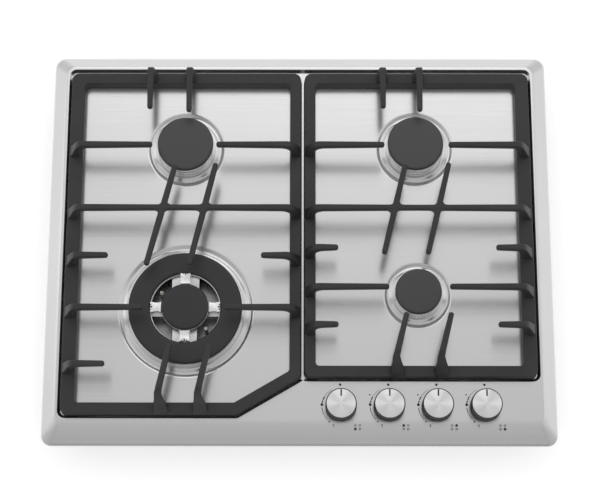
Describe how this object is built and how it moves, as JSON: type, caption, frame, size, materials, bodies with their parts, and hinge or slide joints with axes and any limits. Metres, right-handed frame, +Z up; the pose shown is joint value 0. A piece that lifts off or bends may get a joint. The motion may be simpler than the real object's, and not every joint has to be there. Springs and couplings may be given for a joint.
{
  "type": "gas cooktop",
  "caption": "Built-in gas cooktop with a brushed steel panel, two cast pan supports, plain burners, a triple-crown wok burner and push-and-turn knobs at the front right.",
  "frame": {"origin": "middle of the panel's outline in plan, on the underside of the base box", "axes": "+X to the user's right, along the panel's long side; +Y to the back, away from the user; +Z up, off the worktop"},
  "size_m": [0.6, 0.48, 0.098],
  "materials": {
    "brushed_panel": "fine brushed, satin",
    "foam": "closed-cell foam, matt",
    "cast_iron": "matt black enamel on cast iron",
    "rubber": "matt",
    "burner_alloy": "die-cast, lightly tumbled",
    "black_enamel": "matt black vitreous enamel",
    "ceramic": "unglazed ceramic with a steel pin",
    "probe_steel": "drawn steel",
    "brass": "turned",
    "tap_alloy": "die-cast",
    "knob_black": "satin black",
    "switch_plastic": "moulded",
    "gas_steel": "zinc plated",
    "feed_aluminium": "drawn tube",
    "zinc_steel": "galvanised sheet"
  },
  "bodies": {
    "cooktop": {"top_panel": "brushed_panel", "panel_seal": "foam", "mains_gland": "rubber", "burner_cups": "burner_alloy", "spark_electrodes": "ceramic", "thermocouples": "probe_steel", "clamp_screws": "probe_steel", "injectors": "brass", "jet_holders": "tap_alloy", "wok_tap_body": "tap_alloy", "rear_left_tap_body": "tap_alloy", "rear_right_tap_body": "tap_alloy", "front_right_tap_body": "tap_alloy", "spark_switches": "switch_plastic", "ignition_module": "switch_plastic", "gas_rail": "gas_steel", "supply_pipe": "gas_steel", "gas_inlet": "gas_steel", "feed_pipes": "feed_aluminium", "base_box": "zinc_steel", "worktop_clamps": "zinc_steel"},
    "left_support": {"left_pan_support": "cast_iron", "left_support_pads": "rubber"},
    "right_support": {"right_pan_support": "cast_iron", "right_support_pads": "rubber"},
    "rear_left_spreader": {"rear_left_crown": "burner_alloy"},
    "rear_left_lid": {"rear_left_cap": "black_enamel"},
    "rear_right_spreader": {"rear_right_crown": "burner_alloy"},
    "rear_right_lid": {"rear_right_cap": "black_enamel"},
    "front_right_spreader": {"front_right_crown": "burner_alloy"},
    "front_right_lid": {"front_right_cap": "black_enamel"},
    "wok_spreader": {"wok_crown": "burner_alloy"},
    "wok_inner_lid": {"wok_inner_cap": "black_enamel"},
    "wok_ring_lid": {"wok_ring_cap": "black_enamel"},
    "wok_plug": {"wok_tap_plug": "brass"},
    "wok_knob": {"wok_knob": "knob_black"},
    "rear_left_plug": {"rear_left_tap_plug": "brass"},
    "rear_left_knob": {"rear_left_knob": "knob_black"},
    "rear_right_plug": {"rear_right_tap_plug": "brass"},
    "rear_right_knob": {"rear_right_knob": "knob_black"},
    "front_right_plug": {"front_right_tap_plug": "brass"},
    "front_right_knob": {"front_right_knob": "knob_black"}
  },
  "joints": [
    {"name": "left_support_lift", "type": "slide", "parent": "cooktop", "child": "left_support", "axis": [0, 0, 1], "range_m": [0, 0.06]},
    {"name": "right_support_lift", "type": "slide", "parent": "cooktop", "child": "right_support", "axis": [0, 0, 1], "range_m": [0, 0.06]},
    {"name": "rear_left_crown_lift", "type": "slide", "parent": "cooktop", "child": "rear_left_spreader", "axis": [0, 0, 1], "range_m": [0, 0.01]},
    {"name": "rear_left_cap_lift", "type": "slide", "parent": "rear_left_spreader", "child": "rear_left_lid", "axis": [0, 0, 1], "range_m": [0, 0.01]},
    {"name": "rear_right_crown_lift", "type": "slide", "parent": "cooktop", "child": "rear_right_spreader", "axis": [0, 0, 1], "range_m": [0, 0.01]},
    {"name": "rear_right_cap_lift", "type": "slide", "parent": "rear_right_spreader", "child": "rear_right_lid", "axis": [0, 0, 1], "range_m": [0, 0.01]},
    {"name": "front_right_crown_lift", "type": "slide", "parent": "cooktop", "child": "front_right_spreader", "axis": [0, 0, 1], "range_m": [0, 0.01]},
    {"name": "front_right_cap_lift", "type": "slide", "parent": "front_right_spreader", "child": "front_right_lid", "axis": [0, 0, 1], "range_m": [0, 0.01]},
    {"name": "wok_crown_lift", "type": "slide", "parent": "cooktop", "child": "wok_spreader", "axis": [0, 0, 1], "range_m": [0, 0.01]},
    {"name": "wok_inner_cap_lift", "type": "slide", "parent": "wok_spreader", "child": "wok_inner_lid", "axis": [0, 0, 1], "range_m": [0, 0.01]},
    {"name": "wok_ring_cap_lift", "type": "slide", "parent": "wok_spreader", "child": "wok_ring_lid", "axis": [0, 0, 1], "range_m": [0, 0.01]},
    {"name": "wok_knob_turn", "type": "hinge", "parent": "cooktop", "child": "wok_plug", "pos_m": [0.0482, -0.194, 0.033], "axis": [0, 0, 1], "range_deg": [0, 150]},
    {"name": "wok_knob_push", "type": "slide", "parent": "wok_plug", "child": "wok_knob", "axis": [0, 0, -1], "range_m": [0, 0.003], "stiffness_N_per_m": 1200, "springref_m": -0.003},
    {"name": "rear_left_knob_turn", "type": "hinge", "parent": "cooktop", "child": "rear_left_plug", "pos_m": [0.1042, -0.194, 0.033], "axis": [0, 0, 1], "range_deg": [0, 150]},
    {"name": "rear_left_knob_push", "type": "slide", "parent": "rear_left_plug", "child": "rear_left_knob", "axis": [0, 0, -1], "range_m": [0, 0.003], "stiffness_N_per_m": 1200, "springref_m": -0.003},
    {"name": "rear_right_knob_turn", "type": "hinge", "parent": "cooktop", "child": "rear_right_plug", "pos_m": [0.1602, -0.194, 0.033], "axis": [0, 0, 1], "range_deg": [0, 150]},
    {"name": "rear_right_knob_push", "type": "slide", "parent": "rear_right_plug", "child": "rear_right_knob", "axis": [0, 0, -1], "range_m": [0, 0.003], "stiffness_N_per_m": 1200, "springref_m": -0.003},
    {"name": "front_right_knob_turn", "type": "hinge", "parent": "cooktop", "child": "front_right_plug", "pos_m": [0.2162, -0.194, 0.033], "axis": [0, 0, 1], "range_deg": [0, 150]},
    {"name": "front_right_knob_push", "type": "slide", "parent": "front_right_plug", "child": "front_right_knob", "axis": [0, 0, -1], "range_m": [0, 0.003], "stiffness_N_per_m": 1200, "springref_m": -0.003}
  ]
}
